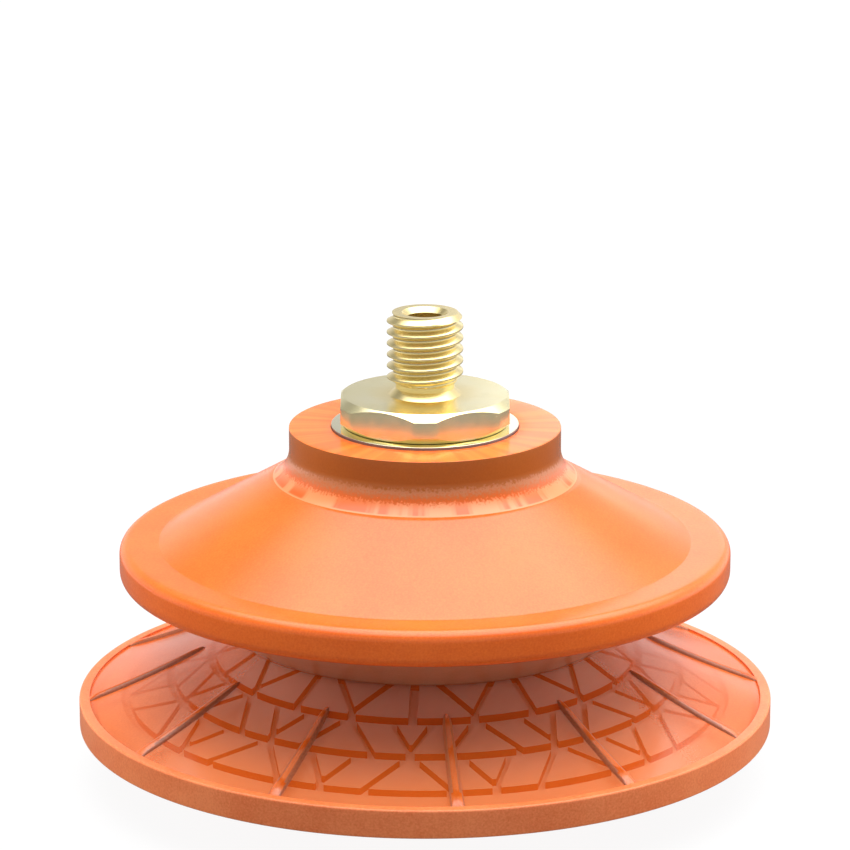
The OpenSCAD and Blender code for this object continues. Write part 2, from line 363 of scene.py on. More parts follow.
def fillet_painted_light_and_shade():
    """Polyurethane below the collar in painted light and shade: a brown painted shade at its top under the
    collar, then a grainy band, dark streaks that paint reflections of the collar, and a pale painted sheen at
    its foot by the cone.
    """
    material, tree, shader, where = polyurethane("fillet_painted_light_and_shade", PU_COLOUR, PU_DEEP, 0.0)
    height = tree.node("MapRange")
    tree.put(height, "Value", tree.plan(where)[1])
    tree.put(height, "From Min", SEAM_Z * MM)
    tree.put(height, "From Max", SHOULDER_Z * MM)
    grain = tree.span(tree.noise(where, 3000, 2), -0.22, 0.22)
    rise = tree.node("Math", operation="ADD")
    tree.put(rise, 0, height.outputs["Result"])
    tree.put(rise, 1, grain)
    # Painted shade in brown at the top, a pale painted sheen at the foot, darker orange between.
    bands = tree.ramp(rise.outputs["Value"], [
        (0.0, PAINTED_SHEEN_COLOUR), (0.3, PAINTED_SHEEN_COLOUR), (0.42, (0.72, 0.12, 0.012)), (0.58, (0.6, 0.16, 0.04)),
        (0.72, (0.58, 0.21, 0.085)), (0.86, PAINTED_SHADE_COLOUR), (1.0, PAINTED_SHADE_COLOUR),
    ])
    # Streaks of painted reflection in the lower half.
    streaks = tree.ramp(tree.streaks(where, 5), [(0.47, 0.0), (0.54, 0.9)])
    low_part = tree.ramp(height.outputs["Result"], [(0.02, 0.0), (0.05, 1.0), (0.1, 1.0), (0.5, 0.0)])
    share = tree.node("Math", operation="MULTIPLY", use_clamp=True)
    tree.put(share, 0, streaks)
    tree.put(share, 1, low_part)
    tree.put(shader, "Base Color", tree.blend(share.outputs["Value"], bands, REFLECTION_STREAK_COLOUR))
    return material


def metal(name, colour, dull, rough, turned_marks, root=None):
    """Turned metal: rings left by the tool, uneven polish, and, where root is given, a deeper gold painted
    into the thread's roots and the port for the orange reflections and shade there.
    """
    material, tree, shader, where = new_material(name)
    patches = tree.noise(where, 260, 4)
    face = tree.ramp(patches, [(0.25, dull), (0.7, colour)])
    # Painted reflection and shade in the roots and the port, faded out at the stud's top end.
    if root:
        depth = tree.ramp(tree.reach(where), [(ROOT_SHADE_R[0] * MM, 1.0), (ROOT_SHADE_R[1] * MM, 0.0)])
        full_z, clear_z = ((STUD_TOP - drop) * MM for drop in ROOT_SHADE_DROPS)
        below_top = tree.ramp(tree.plan(where)[1], [(full_z, 1.0), (clear_z, 0.0)])
        rooted = tree.node("Math", operation="MULTIPLY")
        tree.put(rooted, 0, depth)
        tree.put(rooted, 1, below_top)
        face = tree.blend(rooted.outputs["Value"], face, (*root, 1))
    tree.put(shader, "Base Color", face)
    tree.put(shader, "Metallic", 1.0)
    tree.put(shader, "Roughness", tree.span(tree.noise(where, 700, 3), rough - 0.05, rough + 0.06))
    rings = tree.node("CombineXYZ")
    tree.put(rings, "X", tree.reach(where))
    tree.put(rings, "Z", tree.plan(where)[1])
    lathe = tree.noise(rings.outputs["Vector"], 9000, 1)
    tree.put(shader, "Normal", tree.bump(lathe, 0.00001, turned_marks))
    return material


PU_COLOUR = (0.93, 0.175, 0.018)
PU_DEEP = (0.83, 0.132, 0.01)
# A dark brown painted shade, for the collar's upright side and the top of the fillet under the collar.
PAINTED_SHADE_COLOUR = (0.44, 0.115, 0.008)
# Dark orange of the fillet's painted reflection streaks.
REFLECTION_STREAK_COLOUR = (0.8, 0.11, 0.008, 1)
# Pale orange of the fillet's painted sheen.
PAINTED_SHEEN_COLOUR = (0.95, 0.3, 0.11)
PU_BODY = polyurethane("moulded_polyurethane", PU_COLOUR, PU_DEEP, 0.1)[0]
PU_TOP = streaked("collar_top", (0.94, 0.21, 0.02), (0.87, 0.15, 0.01))
# Below the collar: painted shade, painted reflections and a painted sheen.
PU_FILLET = fillet_painted_light_and_shade()
# The collar's upright side, in painted shade.
PU_SHADED_SIDE = polyurethane("collar_side_painted_shade", PAINTED_SHADE_COLOUR, (0.4, 0.1, 0.006), 0.0)[0]
# The border's paler orange carries a painted neutral sheen.
PU_EDGE = polyurethane("border_polyurethane_painted_sheen", (0.97, 0.28, 0.1), (0.82, 0.18, 0.05), 0.1, 0.32)[0]
# Painted shade on the ribs' flanks.
PU_RIB_SHADE = polyurethane("rib_side_painted_shade", (0.46, 0.13, 0.05), (0.3, 0.08, 0.03), 0.0, 0.3)[0]
# The under cone and the waist: a dull greyish orange that paints the shade under the fold's rim, with a faint
# painted neutral sheen.
PU_LOWER_SHADE_SHEEN = polyurethane("lower_painted_shade_and_sheen", (0.6, 0.29, 0.15), (0.52, 0.25, 0.12), 0.0)[0]
PU_SKIN = clear_skin("clear_polyurethane", 0.5)
PU_RIB = clear_skin("rib_polyurethane", 0.38)
# Seen from inside, the underside's flats are a pale grey painted sheen near the waist, warming outward.
PU_UNDER = under_face("lip_underside_painted_sheen", (0.78, 0.8, 0.76), (0.9, 0.5, 0.24))
# Seen from inside, the cleat walls are a deep painted shade.
PU_WALL = under_face("cleat_walls_painted_shade", (0.6, 0.06, 0.003), (0.7, 0.09, 0.004))
# The stud's brass, with painted orange reflections and shade in the thread's roots and the port.
BRASS = metal("turned_brass", (0.965, 0.88, 0.57), (0.94, 0.84, 0.48), 0.24, 0.12, (0.95, 0.77, 0.36))
WASHER_BRASS = metal("washer_brass", (0.99, 0.93, 0.7), (0.95, 0.88, 0.6), 0.14, 0.1)
# A dark blue-grey on the washer's upright edge: a painted reflection of the dim room.
WASHER_SIDE_REFLECTION = metal("washer_side_painted_reflection", (0.3, 0.32, 0.38), (0.22, 0.24, 0.29), 0.4, 0.1)
ALLOY = metal("turned_alloy", (0.86, 0.87, 0.89), (0.74, 0.75, 0.78), 0.3, 0.5)
STEEL = metal("filter_steel", (0.75, 0.76, 0.78), (0.6, 0.61, 0.63), 0.27, 0.1)


def seal_rubber():
    """Satin black nitrile with a dusty grain."""
    material, tree, shader, where = new_material("seal_rubber")
    dust = tree.noise(where, 1500, 4)
    tree.put(shader, "Base Color", tree.ramp(dust, [(0.3, 0.012), (0.8, 0.035)]))
    tree.put(shader, "Roughness", tree.span(dust, 0.42, 0.6))
    tree.put(shader, "Normal", tree.bump(dust, 0.00002, 0.3))
    return material


SEAL = seal_rubber()


# --- Mesh building ---


def make_piece(name, vertices, faces, *materials, crease=32):
    """A closed mesh from points in mm, with its normals outward and its edges sharp past an angle."""
    mesh = bpy.data.meshes.new(name)
    mesh.from_pydata([(x * MM, y * MM, z * MM) for x, y, z in vertices], [], faces)
    for material in materials:
        mesh.materials.append(material)
    bm = bmesh.new()
    bm.from_mesh(mesh)
    bmesh.ops.remove_doubles(bm, verts=bm.verts, dist=1e-7)
    bmesh.ops.dissolve_degenerate(bm, edges=bm.edges, dist=1e-8)
    bmesh.ops.recalc_face_normals(bm, faces=bm.faces)
    for face in bm.faces:
        face.smooth = True
    bm.to_mesh(mesh)
    bm.free()
    mesh.set_sharp_from_angle(angle=math.radians(crease))
    piece = bpy.data.objects.new(name, mesh)
    bpy.context.scene.collection.objects.link(piece)
    return piece


def rounded(corners, step=1.0, turn=math.radians(12)):
    """Points round a closed outline of (radius, height, fillet) corners, with its straights cut up."""
    points = []
    count = len(corners)
    for i, (r, z, fillet) in enumerate(corners):
        here = Vector((r, z))
        back = (Vector(corners[i - 1][:2]) - here).normalized()
        ahead = (Vector(corners[(i + 1) % count][:2]) - here).normalized()
        if not fillet:
            points.append(here)
            continue
        half = back.angle(ahead) / 2
        centre = here + (back + ahead).normalized() * fillet / math.sin(half)
        start = here + back * fillet / math.tan(half) - centre
        end = here + ahead * fillet / math.tan(half) - centre
        first = math.atan2(start.y, start.x)
        sweep = (math.atan2(end.y, end.x) - first + math.pi) % math.tau - math.pi
        steps = max(2, math.ceil(abs(sweep) / turn))
        for k in range(steps + 1):
            a = first + sweep * k / steps
            points.append(centre + fillet * Vector((math.cos(a), math.sin(a))))
    cut = []
    for i, point in enumerate(points):
        after = points[(i + 1) % len(points)]
        pieces = max(1, math.ceil((after - point).length / step))
        cut += [point.lerp(after, k / pieces) for k in range(pieces)]
    return [tuple(p) for p in cut]


def ring_faces(rows, columns, closed=True, partner=lambda row: row):
    """Quads between the rows of a grid whose columns run all the way round.

    A row closes on itself, or on the row that partner gives for it, as a thread's does.
    """
    faces = []
    for i in range(rows if closed else rows - 1):
        after = (i + 1) % rows
        below, above = i * columns, after * columns
        for j in range(columns - 1):
            faces.append((below + j, below + j + 1, above + j + 1, above + j))
        last = columns - 1
        faces.append((below + last, partner(i) * columns, partner(after) * columns, above + last))
    return faces


def turned(name, corners, material, columns=240, step=1.0, turn=math.radians(12)):
    """A ring turned about the axis from a closed outline."""
    outline = rounded(corners, step, turn)
    angles = [math.tau * j / columns for j in range(columns)]
    vertices = [(r * math.cos(a), r * math.sin(a), z) for r, z in outline for a in angles]
    return make_piece(name, vertices, ring_faces(len(outline), columns), material)


def dress_side(piece, material, beyond_r):
    """Gives a turned piece's upright outer side a material of its own, here one that paints the shade or the
    dim reflection on that side.
    """
    piece.data.materials.append(material)
    for face in piece.data.polygons:
        r = math.hypot(face.center.x, face.center.y) / MM
        face.material_index = int(r > beyond_r and abs(face.normal.z) < 0.5)


def tube(path, section_r, sides, vertices, faces):
    """Adds a round tube with closed ends along a path that stays near one upright plane."""
    first = len(vertices)
    for i, point in enumerate(path):
        along = (path[min(i + 1, len(path) - 1)] - path[max(i - 1, 0)]).normalized()
        side = along.cross(Vector((0, 0, 1))).normalized()
        up = side.cross(along)
        for k in range(sides):
            a = math.tau * k / sides
            vertices.append(tuple(point + section_r * (math.cos(a) * side + math.sin(a) * up)))
    faces += [tuple(first + i for i in face) for face in ring_faces(len(path), sides, closed=False)]
    last = first + (len(path) - 1) * sides
    faces.append(tuple(range(first, first + sides)))
    faces.append(tuple(range(last, last + sides)))


# --- The moulding, in pieces that meet at its creases ---

INNER_CONE_Z = cone_z(POCKET_R) - CONE_DROP
FOLD_IN_R = 35.15


def collar():
    """The collar that the washer and the insert clamp."""
    recess_r = WASHER_R + 0.05
    recess_z = WASHER_UNDER - 0.05
    piece = turned("collar_moulding", [
        (COLLAR_HOLE_R, COLLAR_UNDER, 0.1), (POCKET_R - 0.1, COLLAR_UNDER, 0),
        (POCKET_R - 0.1, SHOULDER_Z, 0), (COLLAR_R, SHOULDER_Z, 0), (COLLAR_R, CUP_TOP, 0.12),
        (recess_r, CUP_TOP, 0.06), (recess_r, recess_z, 0), (COLLAR_HOLE_R, recess_z, 0.1),
    ], PU_TOP, step=2)
    # The collar's upright side is given the painted shade.
    dress_side(piece, PU_SHADED_SIDE, COLLAR_R - 0.02)
    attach(piece, "fitting")
    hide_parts("cup_collar")


def shoulder():
    """The fillet below the collar, which bends when the cup tilts sideways."""
    piece = turned("shoulder_moulding", [
        (POCKET_R, SHOULDER_Z, 0), (POCKET_R, SEAM_Z, 0), (SEAM_R + 0.002, SEAM_Z, 0),
        (COLLAR_R, cone_z(COLLAR_R), FILLET_R), (COLLAR_R, SHOULDER_Z + 0.002, 0),
    ], PU_FILLET, step=0.7, turn=math.radians(4))
    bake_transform(piece)
    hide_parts("collar_shoulder")


def upper_bellows():
    """The upper cone and the fold's rim, which nears the collar on the bellows' stroke."""
    piece = turned("upper_bellows_moulding", [
        (POCKET_R, SEAM_Z, 0), (POCKET_R, INNER_CONE_Z, 0.3),
        (FOLD_IN_R, cone_z(FOLD_IN_R) - CONE_DROP, 0), (UNDER_R, RIM_UNDER, 0),
        (RIM_R, RIM_UNDER, RIM_EDGE_R), (RIM_R, RIM_TOP, RIM_EDGE_R),
        (CONE_FOOT_R, RIM_TOP, 0.15), (SEAM_R, SEAM_Z, 0),
    ], PU_BODY, step=0.7)
    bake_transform(piece)
    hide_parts("cone_root", "upper_cone", "fold_rim")


def lower_bellows():
    """The under cone and the waist, which bends when the cup tilts forward."""
    bevel = 0.5
    waist_top = under_z(WAIST_R) + UNDER_RISE
    seam_low = web_z(WAIST_R, WEB_T) + 0.02
    # Its material paints the shade and sheen under the fold.
    piece = turned("lower_bellows_moulding", [
        (WAIST_R, seam_low, 0), (GROOVE_R, GROOVE_Z + 0.02, 0), (UNDER_R, RIM_UNDER, 0),
        (FOLD_IN_R, cone_z(FOLD_IN_R) - CONE_DROP, 0), (WAIST_R, waist_top, bevel),
    ], PU_LOWER_SHADE_SHEEN, step=0.7)
    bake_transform(piece)
    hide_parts("under_cone", "waist_ring")


# --- The lip: ribs above, tread below, one closed skin ---

RIB_STATIONS = (-1, -0.93, -0.75, -0.45, 0, 0.45, 0.75, 0.93, 1)
GAP_COLUMNS = 12
TOP_STEPS = 56
# A rib's face leans at least this much across the rib where it counts as the rib's side, which takes a painted
# shade
SHADE_LEAN = 0.42


def rib_share(r):
    """How far a rib has grown at a radius: 0 before its point, 1 at its full width."""
    t = min(1, max(0, (r - RIB_IN_R) / RIB_POINT))
    return math.sqrt(t * (2 - t))


def lip_columns(r):
    """(angle, rib station) of each column at a radius: close together over a rib, even between two."""
    reach = (r - RIB_IN_R) / (BORDER_IN_R - RIB_IN_R)
    half_w = max(0.12, (RIB_ROOT_W + (RIB_W - RIB_ROOT_W) * reach) / 2 * rib_share(r))
    half = math.asin(half_w / r)
    sector = math.tau / RIB_COUNT
    columns = []
    for i in range(RIB_COUNT):
        middle = RIB_START + i * sector
        columns += [(middle + half * s, s) for s in RIB_STATIONS]
        gap = sector - 2 * half
        columns += [(middle + half + gap * (k + 1) / (GAP_COLUMNS + 1), 1) for k in range(GAP_COLUMNS)]
    return columns


def rib_height(r, station):
    """Height of the half-round rib above the web, flush with the border at its outer end."""
    step = BORDER_TOP - web_z(BORDER_IN_R)
    fade = min(1, max(0, (BORDER_IN_R - r) / 1.2))
    full = step + (RIB_H - step) * math.sin(fade * math.pi / 2)
    return full * rib_share(r) * math.sqrt(1 - station ** 2)


def polar(r, a):
    return Vector((r * math.cos(a), r * math.sin(a)))


def strip(a, b, width):
    """Corners of a straight strip in plan, from a to b and a little past both."""
    past = 0.4
    along = (b - a).normalized()
    side = Vector((-along.y, along.x)) * width / 2
    a, b = a - along * past, b + along * past
    return [a - side, b - side, b + side, a + side]


def tread_strips():
    """Cleats of the tread in plan, with the ring that each one belongs to."""
    repeat = math.tau / TREAD_COUNT
    strips = []
    for i in range(TREAD_COUNT):
        middle = TREAD_START + i * repeat
        for ring, turn in ((TREAD_MIDDLE, middle), (TREAD_OUTER, middle + repeat / 2)):
            vee_r = ring[0] + VEE_REACH * (ring[1] - ring[0])
            for s in (-1, 1):
                vee = [turn + s * math.radians(a) for a in VEE_ANGLES]
                slant = [turn + s * math.radians(a) for a in SLANT_ANGLES]
                strips.append((ring, strip(polar(ring[0], vee[0]), polar(vee_r, vee[1]), CLEAT_W)))
                strips.append((ring, strip(polar(ring[0], slant[0]), polar(ring[1], slant[1]), CLEAT_W)))
            strips.append((ring, strip(polar(vee_r, turn), polar(ring[1], turn), STEM_W)))
        ring = TREAD_INNER
        half = middle + repeat / 2
        start_r, vee_r = ring[0] + INNER_SET_BACK, ring[1] - INNER_STEM
        strips.append((ring, strip(polar(start_r, middle), polar(ring[1], middle), STEM_W)))
        for s in (-1, 1):
            vee = [half + s * math.radians(a) for a in INNER_VEE_ANGLES]
            strips.append((ring, strip(polar(start_r, vee[0]), polar(vee_r, vee[1]), CLEAT_W)))
        strips.append((ring, strip(polar(vee_r, half), polar(ring[1], half), STEM_W)))
    return strips


def inside(point, quad):
    """Whether a point in plan lies inside a convex quad that runs anticlockwise."""
    for i in range(4):
        a, b = quad[i], quad[(i + 1) % 4]
        if (b - a).cross(point - a) < 0:
            return False
    return True


def tread_plan(outer, inner):
    """Triangles of the lip's underside in plan, between two loops of points, and which are cleats."""
    points = list(outer) + list(inner)
    edges = []
    for first, count in ((0, len(outer)), (len(outer), len(inner))):
        edges += [(first + j, first + (j + 1) % count) for j in range(count)]
    rings = (TREAD_INNER, TREAD_MIDDLE, TREAD_OUTER)
    hoops = [(r, r + HOOP_W) for _, r in rings]
    circles = [r for pair in (*rings, *hoops) for r in pair]
    for r in sorted({*circles, *FILLING_CIRCLES}):
        first, count = len(points), CIRCLE_POINTS
        points += [polar(r, math.tau * j / count) for j in range(count)]
        edges += [(first + j, first + (j + 1) % count) for j in range(count)]
    strips = tread_strips()
    for _, quad in strips:
        first = len(points)
        points += quad
        edges += [(first + j, first + (j + 1) % 4) for j in range(4)]
    plan, _, triangles, sources, _, _ = delaunay_2d_cdt(points, edges, [], 0, 1e-4)
    index_of = {s: i for i, found in enumerate(sources) for s in found}
    inner_loop = {index_of[len(outer) + j] for j in range(len(inner))}
    kept, raised = [], []
    for triangle in triangles:
        if all(i in inner_loop for i in triangle):
            continue
        middle = sum((plan[i] for i in triangle), Vector((0, 0))) / 3
        r = middle.length
        near = [quad for ring, quad in strips if ring[0] < r < ring[1]]
        in_hoop = any(a < r < b for a, b in hoops)
        kept.append(triangle)
        raised.append(in_hoop or any(inside(middle, quad) for quad in near))
    return plan, kept, raised, [index_of[j] for j in range(len(outer) + len(inner))]


def lip():
    """The thin lip with its border, ribs and tread."""
    rows = []
    for i in range(TOP_STEPS + 1):
        r = GROOVE_R + (BORDER_IN_R - GROOVE_R) * i / TOP_STEPS
        rows.append([(r, a, web_z(r) + rib_height(r, s)) for a, s in lip_columns(r)])
    angles = [a for a, _ in lip_columns(BORDER_IN_R)]
    foot_r = LIP_R - SEAL_W - FOOT_LEAN
    foot_z = web_z(foot_r, WEB_T)
    edge = rounded([
        (BORDER_IN_R, BORDER_TOP, 0.05), (LIP_R, BORDER_TOP, 0.3), (LIP_R, 0, 0.15),
        (LIP_R - SEAL_W, 0, 0.1), (foot_r, foot_z, 0), (foot_r, BORDER_TOP, 0),
    ], 0.5)
    start = min(range(len(edge)), key=lambda i: math.dist(edge[i], (BORDER_IN_R, BORDER_TOP - 0.05)))
    end = min(range(len(edge)), key=lambda i: math.dist(edge[i], (foot_r, foot_z)))
    for r, z in edge[start:end + 1]:
        rows.append([(r, a, z) for a in angles])
    columns = len(angles)
    vertices = [(r * math.cos(a), r * math.sin(a), z) for row in rows for r, a, z in row]
    faces = ring_faces(len(rows), columns, closed=False)

    outer = [polar(foot_r, a) for a in angles]
    inner = [polar(WAIST_R, a) for a, _ in lip_columns(GROOVE_R)]
    plan, triangles, raised, loops = tread_plan(outer, inner)
    placed = {}

    def vertex(i, is_raised):
        key = (i, is_raised)
        if key not in placed:
            r = plan[i].length
            placed[key] = len(vertices)
            vertices.append((plan[i].x, plan[i].y, web_z(r, WEB_T + TREAD_H * is_raised)))
        return placed[key]

    for j in range(columns):
        placed[(loops[j], False)] = (len(rows) - 1) * columns + j
    owner = {}
    for triangle, is_raised in zip(triangles, raised):
        faces.append(tuple(vertex(i, is_raised) for i in triangle))
        for k in range(3):
            a, b = triangle[k], triangle[(k + 1) % 3]
            owner.setdefault((min(a, b), max(a, b)), []).append(is_raised)
    for (a, b), sides in owner.items():
        if len(sides) == 2 and sides[0] != sides[1]:
            faces.append((vertex(a, False), vertex(b, False), vertex(b, True), vertex(a, True)))
    for j in range(columns):
        k = (j + 1) % columns
        a, b = vertex(loops[columns + j], False), vertex(loops[columns + k], False)
        faces.append((j, k, b, a))

    materials = (PU_EDGE, PU_SKIN, PU_RIB, PU_UNDER, PU_WALL, PU_RIB_SHADE)
    piece = make_piece("lip_moulding", vertices, faces, *materials, crease=38)
    for face in piece.data.polygons:
        r = math.hypot(face.center.x, face.center.y) / MM
        z = face.center.z / MM
        if GROOVE_R < r < BORDER_IN_R and z > web_z(r, WEB_T / 2):
            across = abs(face.normal.x * face.center.y - face.normal.y * face.center.x) / (r * MM)
            if z < web_z(r, -0.03):
                face.material_index = 1
            else:
                # A rib's flanks are given the painted shade.
                face.material_index = 5 if across > SHADE_LEAN else 2
        elif WAIST_R + 0.01 < r < foot_r and z < web_z(r, WEB_T / 2):
            # Cleat walls get the painted shade and the flats the painted sheen, both seen from inside.
            face.material_index = 4 if abs(face.normal.z) < 0.3 else 3
    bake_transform(piece)
    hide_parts("lip_web", "lip_ribs", "inner_tread", "middle_tread", "outer_tread", "lip_border")


# --- The fitting ---


def stud_angles():
    """Angles of the stud's columns, with one at each edge of the hexagon's turned corners."""
    turned_at = math.degrees(math.acos(HEX_AF / 2 / HEX_TURNED_R))
    angles = []
    for side in range(6):
        middle = 60 * side
        angles += [middle - turned_at + 2 * turned_at * k / 20 for k in range(20)]
        angles += [middle + turned_at + (60 - 2 * turned_at) * k / 6 for k in range(6)]
    return [math.radians(a) for a in angles]


THREAD_FORM = ((-0.5, 1.0), (-0.4, 0.97), (-0.34, 0.86), (-0.1, 0.06), (-0.06, 0.0), (0.06, 0.0), (0.1, 0.06),
               (0.34, 0.86), (0.4, 0.97))


def thread_depth(turns):
    """Depth of the thread, from 0 on the crest to 1 in the root, at a height in turns."""
    s = (turns + 0.5) % 1 - 0.5
    form = [*THREAD_FORM, (0.5, 1.0)]
    for (s0, d0), (s1, d1) in zip(form, form[1:]):
        if s0 <= s <= s1:
            return d0 + (d1 - d0) * (s - s0) / (s1 - s0)
    return 1.0


def thread_rows(angles, z_low, z_high, crest_r, depth, pitch, ends):
    """Rows of a right-hand thread whose edges follow the helix; ends gives the largest radius at a height."""
    rows = []
    turns = math.ceil((z_high - z_low) / pitch) + 1
    for turn in range(-1, turns + 1):
        for s, _ in THREAD_FORM:
            row = []
            for a in angles:
                z = z_low + pitch * (turn + s + a / math.tau)
                z = min(z_high, max(z_low, z))
                r = crest_r - depth * thread_depth((z - z_low) / pitch - a / math.tau)
                row.append((min(r, ends(z)), z))
            rows.append(row)
    return rows


def stud():
    """The hollow stud: M16 x 1 spigot, hexagon, neck and M10 x 1.5 thread."""
    angles = stud_angles()
    even = len(angles)
    chamfer = 0.7
    neck_r, foot_r, foot_h = 3.85, 4.75, 0.9
    run_out = 0.6
    crest_low = STUD_TOP - chamfer - THREAD_LENGTH
    relief_r, spigot_chamfer, bevel_in_r = 7.4, 0.8, 7.5
    port_r, wide_r, wide_top = 2.35, 4.0, STUD_END + 7
    sink = 0.65
    flat_r = [HEX_AF / 2 / math.cos((a + math.pi / 6) % (math.pi / 3) - math.pi / 6) for a in angles]
    flat_r = [min(r, HEX_TURNED_R) for r in flat_r]
    slope_low = 1.05 / (HEX_TURNED_R - HEX_FACE_R)
    slope_high = 0.85 / (HEX_TURNED_R - HEX_FACE_R)

    def tip(z):
        if z < crest_low:
            return neck_r + (z - crest_low + run_out) * (THREAD_R - neck_r) / run_out
        return min(THREAD_R, THREAD_R - (z - STUD_TOP + chamfer))

    def plain(r, z):
        return [(r, z)] * even

    def spigot_ends(z):
        return min(SPIGOT_R, SPIGOT_R - spigot_chamfer + (z - STUD_END))

    rows = [plain(wide_r, STUD_END)]
    threads = [len(rows)]
    spigot_top = STUD_END + SPIGOT_THREAD_LENGTH
    rows += thread_rows(
        angles, STUD_END, spigot_top, SPIGOT_R, SPIGOT_THREAD_DEPTH, SPIGOT_PITCH, spigot_ends)
    threads.append(len(rows) - 1)
    rows += [plain(relief_r, STUD_END + 6.9), plain(relief_r, STUD_END + 7.4)]
    rows.append(plain(SPIGOT_R, STUD_END + 7.7))
    rows += [plain(SPIGOT_R, HEX_Z), plain(HEX_FACE_R, HEX_Z)]
    rows.append([(r, HEX_Z + (r - HEX_FACE_R) * slope_low) for r in flat_r])
    rows.append([(r, HEX_TOP - (r - HEX_FACE_R) * slope_high) for r in flat_r])
    rows += [plain(HEX_FACE_R, HEX_TOP), plain(bevel_in_r, HEX_TOP), plain(foot_r, HEX_TOP)]
    rows += [plain(neck_r + 0.12, HEX_TOP + foot_h - 0.12), plain(neck_r, HEX_TOP + foot_h)]
    threads.append(len(rows))
    rows += thread_rows(angles, crest_low - run_out, STUD_TOP, THREAD_R, THREAD_DEPTH, PITCH, tip)
    threads.append(len(rows) - 1)
    rows += [plain(port_r + sink + 0.05, STUD_TOP), plain(port_r + sink, STUD_TOP - 0.05)]
    rows += [plain(port_r, STUD_TOP - sink), plain(port_r, wide_top), plain(wide_r, wide_top)]

    def one_turn_up(row):
        for first, last in (threads[:2], threads[2:]):
            if first <= row <= last:
                return min(row + len(THREAD_FORM), last)
        return row

    vertices = [(r * math.cos(a), r * math.sin(a), z) for row in rows for a, (r, z) in zip(angles, row)]
    faces = ring_faces(len(rows), even, partner=one_turn_up)
    piece = make_piece("hollow_threaded_stud", vertices, faces, BRASS, crease=26)
    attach(piece, "fitting")
    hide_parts("threaded_stud")


def washer():
    """The support washer, with the soft edge of a stamped disc."""
    hole_r = SPIGOT_R + 0.05
    piece = turned("washer", [
        (hole_r, WASHER_UNDER, 0.1), (WASHER_R, WASHER_UNDER, 0.1),
        (WASHER_R, WASHER_TOP, 0.08), (hole_r, WASHER_TOP, 0.1),
    ], WASHER_BRASS, step=2)
    # The upright edge takes the painted reflection.
    dress_side(piece, WASHER_SIDE_REFLECTION, WASHER_R - 0.09)
    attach(piece, "fitting")
    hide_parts("support_washer")


def seal_ring():
    """The O-ring round the spigot, squeezed a little flat."""
    section_r = 0.88
    centre_r = radius("spigot_seal_ring") - section_r
    z = (low("spigot_seal_ring") + high("spigot_seal_ring")) / 2
    outline = [(centre_r + section_r * math.cos(a), z + section_r * math.sin(a))
               for a in (math.tau * k / 24 for k in range(24))]
    piece = turned("seal_ring", [(r, h, 0) for r, h in outline], SEAL, columns=144)
    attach(piece, "fitting")
    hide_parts("spigot_seal_ring")


def insert():
    """The insert that clamps the moulding from inside, with the groove of the filter's ring."""
    low_z, high_z = low("clamp_insert"), high("clamp_insert")
    flange_r = radius("clamp_insert")
    flange_top = COLLAR_UNDER - 0.05
    flange_under = flange_top - 2.6
    bore_r, skirt_r, hub_r, thread_r = 7.4, 9.6, 10.6, SPIGOT_R + 0.05
    groove_r = high("filter_retaining_ring", 1) + 0.05
    groove_low, groove_high = low("filter_retaining_ring") - 0.05, high("filter_retaining_ring") + 0.05
    shelf = STUD_END - 0.025
    piece = turned("insert", [
        (bore_r, low_z, 0.2), (skirt_r, low_z, 0.3), (skirt_r, flange_under, 0.4),
        (flange_r, flange_under, 0.4), (flange_r, flange_top, 0.25), (hub_r, flange_top, 0.1),
        (hub_r, high_z, 0.25), (thread_r, high_z, 0.15), (thread_r, shelf, 0), (bore_r, shelf, 0),
        (bore_r, groove_high, 0), (groove_r, groove_high, 0),
        (groove_r, groove_low, 0), (bore_r, groove_low, 0),
    ], ALLOY, step=2)
    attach(piece, "fitting")
    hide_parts("clamp_insert")


def filter_disc():
    """A disc of woven wire: two sets of wires that pass over and under each other."""
    z = (low("filter_mesh") + high("filter_mesh")) / 2
    reach = radius("filter_mesh") - 0.12
    pitch, wire_r, wave = 0.78, 0.11, 0.12
    count = int(reach / pitch)
    vertices, faces = [], []
    for crosswise in (False, True):
        for i in range(-count, count + 1):
            offset = i * pitch
            half = math.sqrt(reach ** 2 - offset ** 2)
            steps = max(4, int(2 * half / pitch * 4))
            path = []
            for k in range(steps + 1):
                s = -half + 2 * half * k / steps
                lift = wave * math.cos(math.pi * (s / pitch + i + crosswise))
                flat = (offset, s) if crosswise else (s, offset)
                path.append(Vector((*flat, z + lift)))
            tube(path, wire_r, 6, vertices, faces)
    piece = make_piece("woven_filter", vertices, faces, STEEL, crease=70)
    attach(piece, "fitting")
    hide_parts("filter_mesh")


def retaining_ring():
    """The split ring that holds the filter in its groove."""
    outer_r = high("filter_retaining_ring", 1)
    z_low, z_high = low("filter_retaining_ring"), high("filter_retaining_ring")
    slit = 2.4
    middle_r = outer_r - 0.7
    start = math.asin(slit / 2 / middle_r)
    section = rounded([(-0.7, z_low, 0.15), (0.7, z_low, 0.15), (0.7, z_high, 0.15), (-0.7, z_high, 0.15)], 1)
    steps = 120
    angles = [start + (math.tau - 2 * start) * k / steps for k in range(steps + 1)]
    vertices = []
    for a in angles:
        vertices += [((middle_r + d) * math.cos(a), (middle_r + d) * math.sin(a), z) for d, z in section]
    count = len(section)
    faces = ring_faces(len(angles), count, closed=False)
    faces += [tuple(range(count)), tuple(range(steps * count, (steps + 1) * count))]
    piece = make_piece("split_ring", vertices, faces, STEEL)
    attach(piece, "fitting")
    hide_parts("filter_retaining_ring")


# --- Camera, floor and light ---


def camera():
    """The product view: a long lens a little above the cup."""
    data = bpy.data.cameras.new("camera")
    data.sensor_width = 36
    data.lens = 164.95
    data.clip_start = 0.01
    made = bpy.data.objects.new("camera", data)
    made.location = (0, -0.4927, 0.1739)
    made.rotation_euler = (math.radians(74.8), 0, 0)
    bpy.context.scene.collection.objects.link(made)
    bpy.context.scene.camera = made


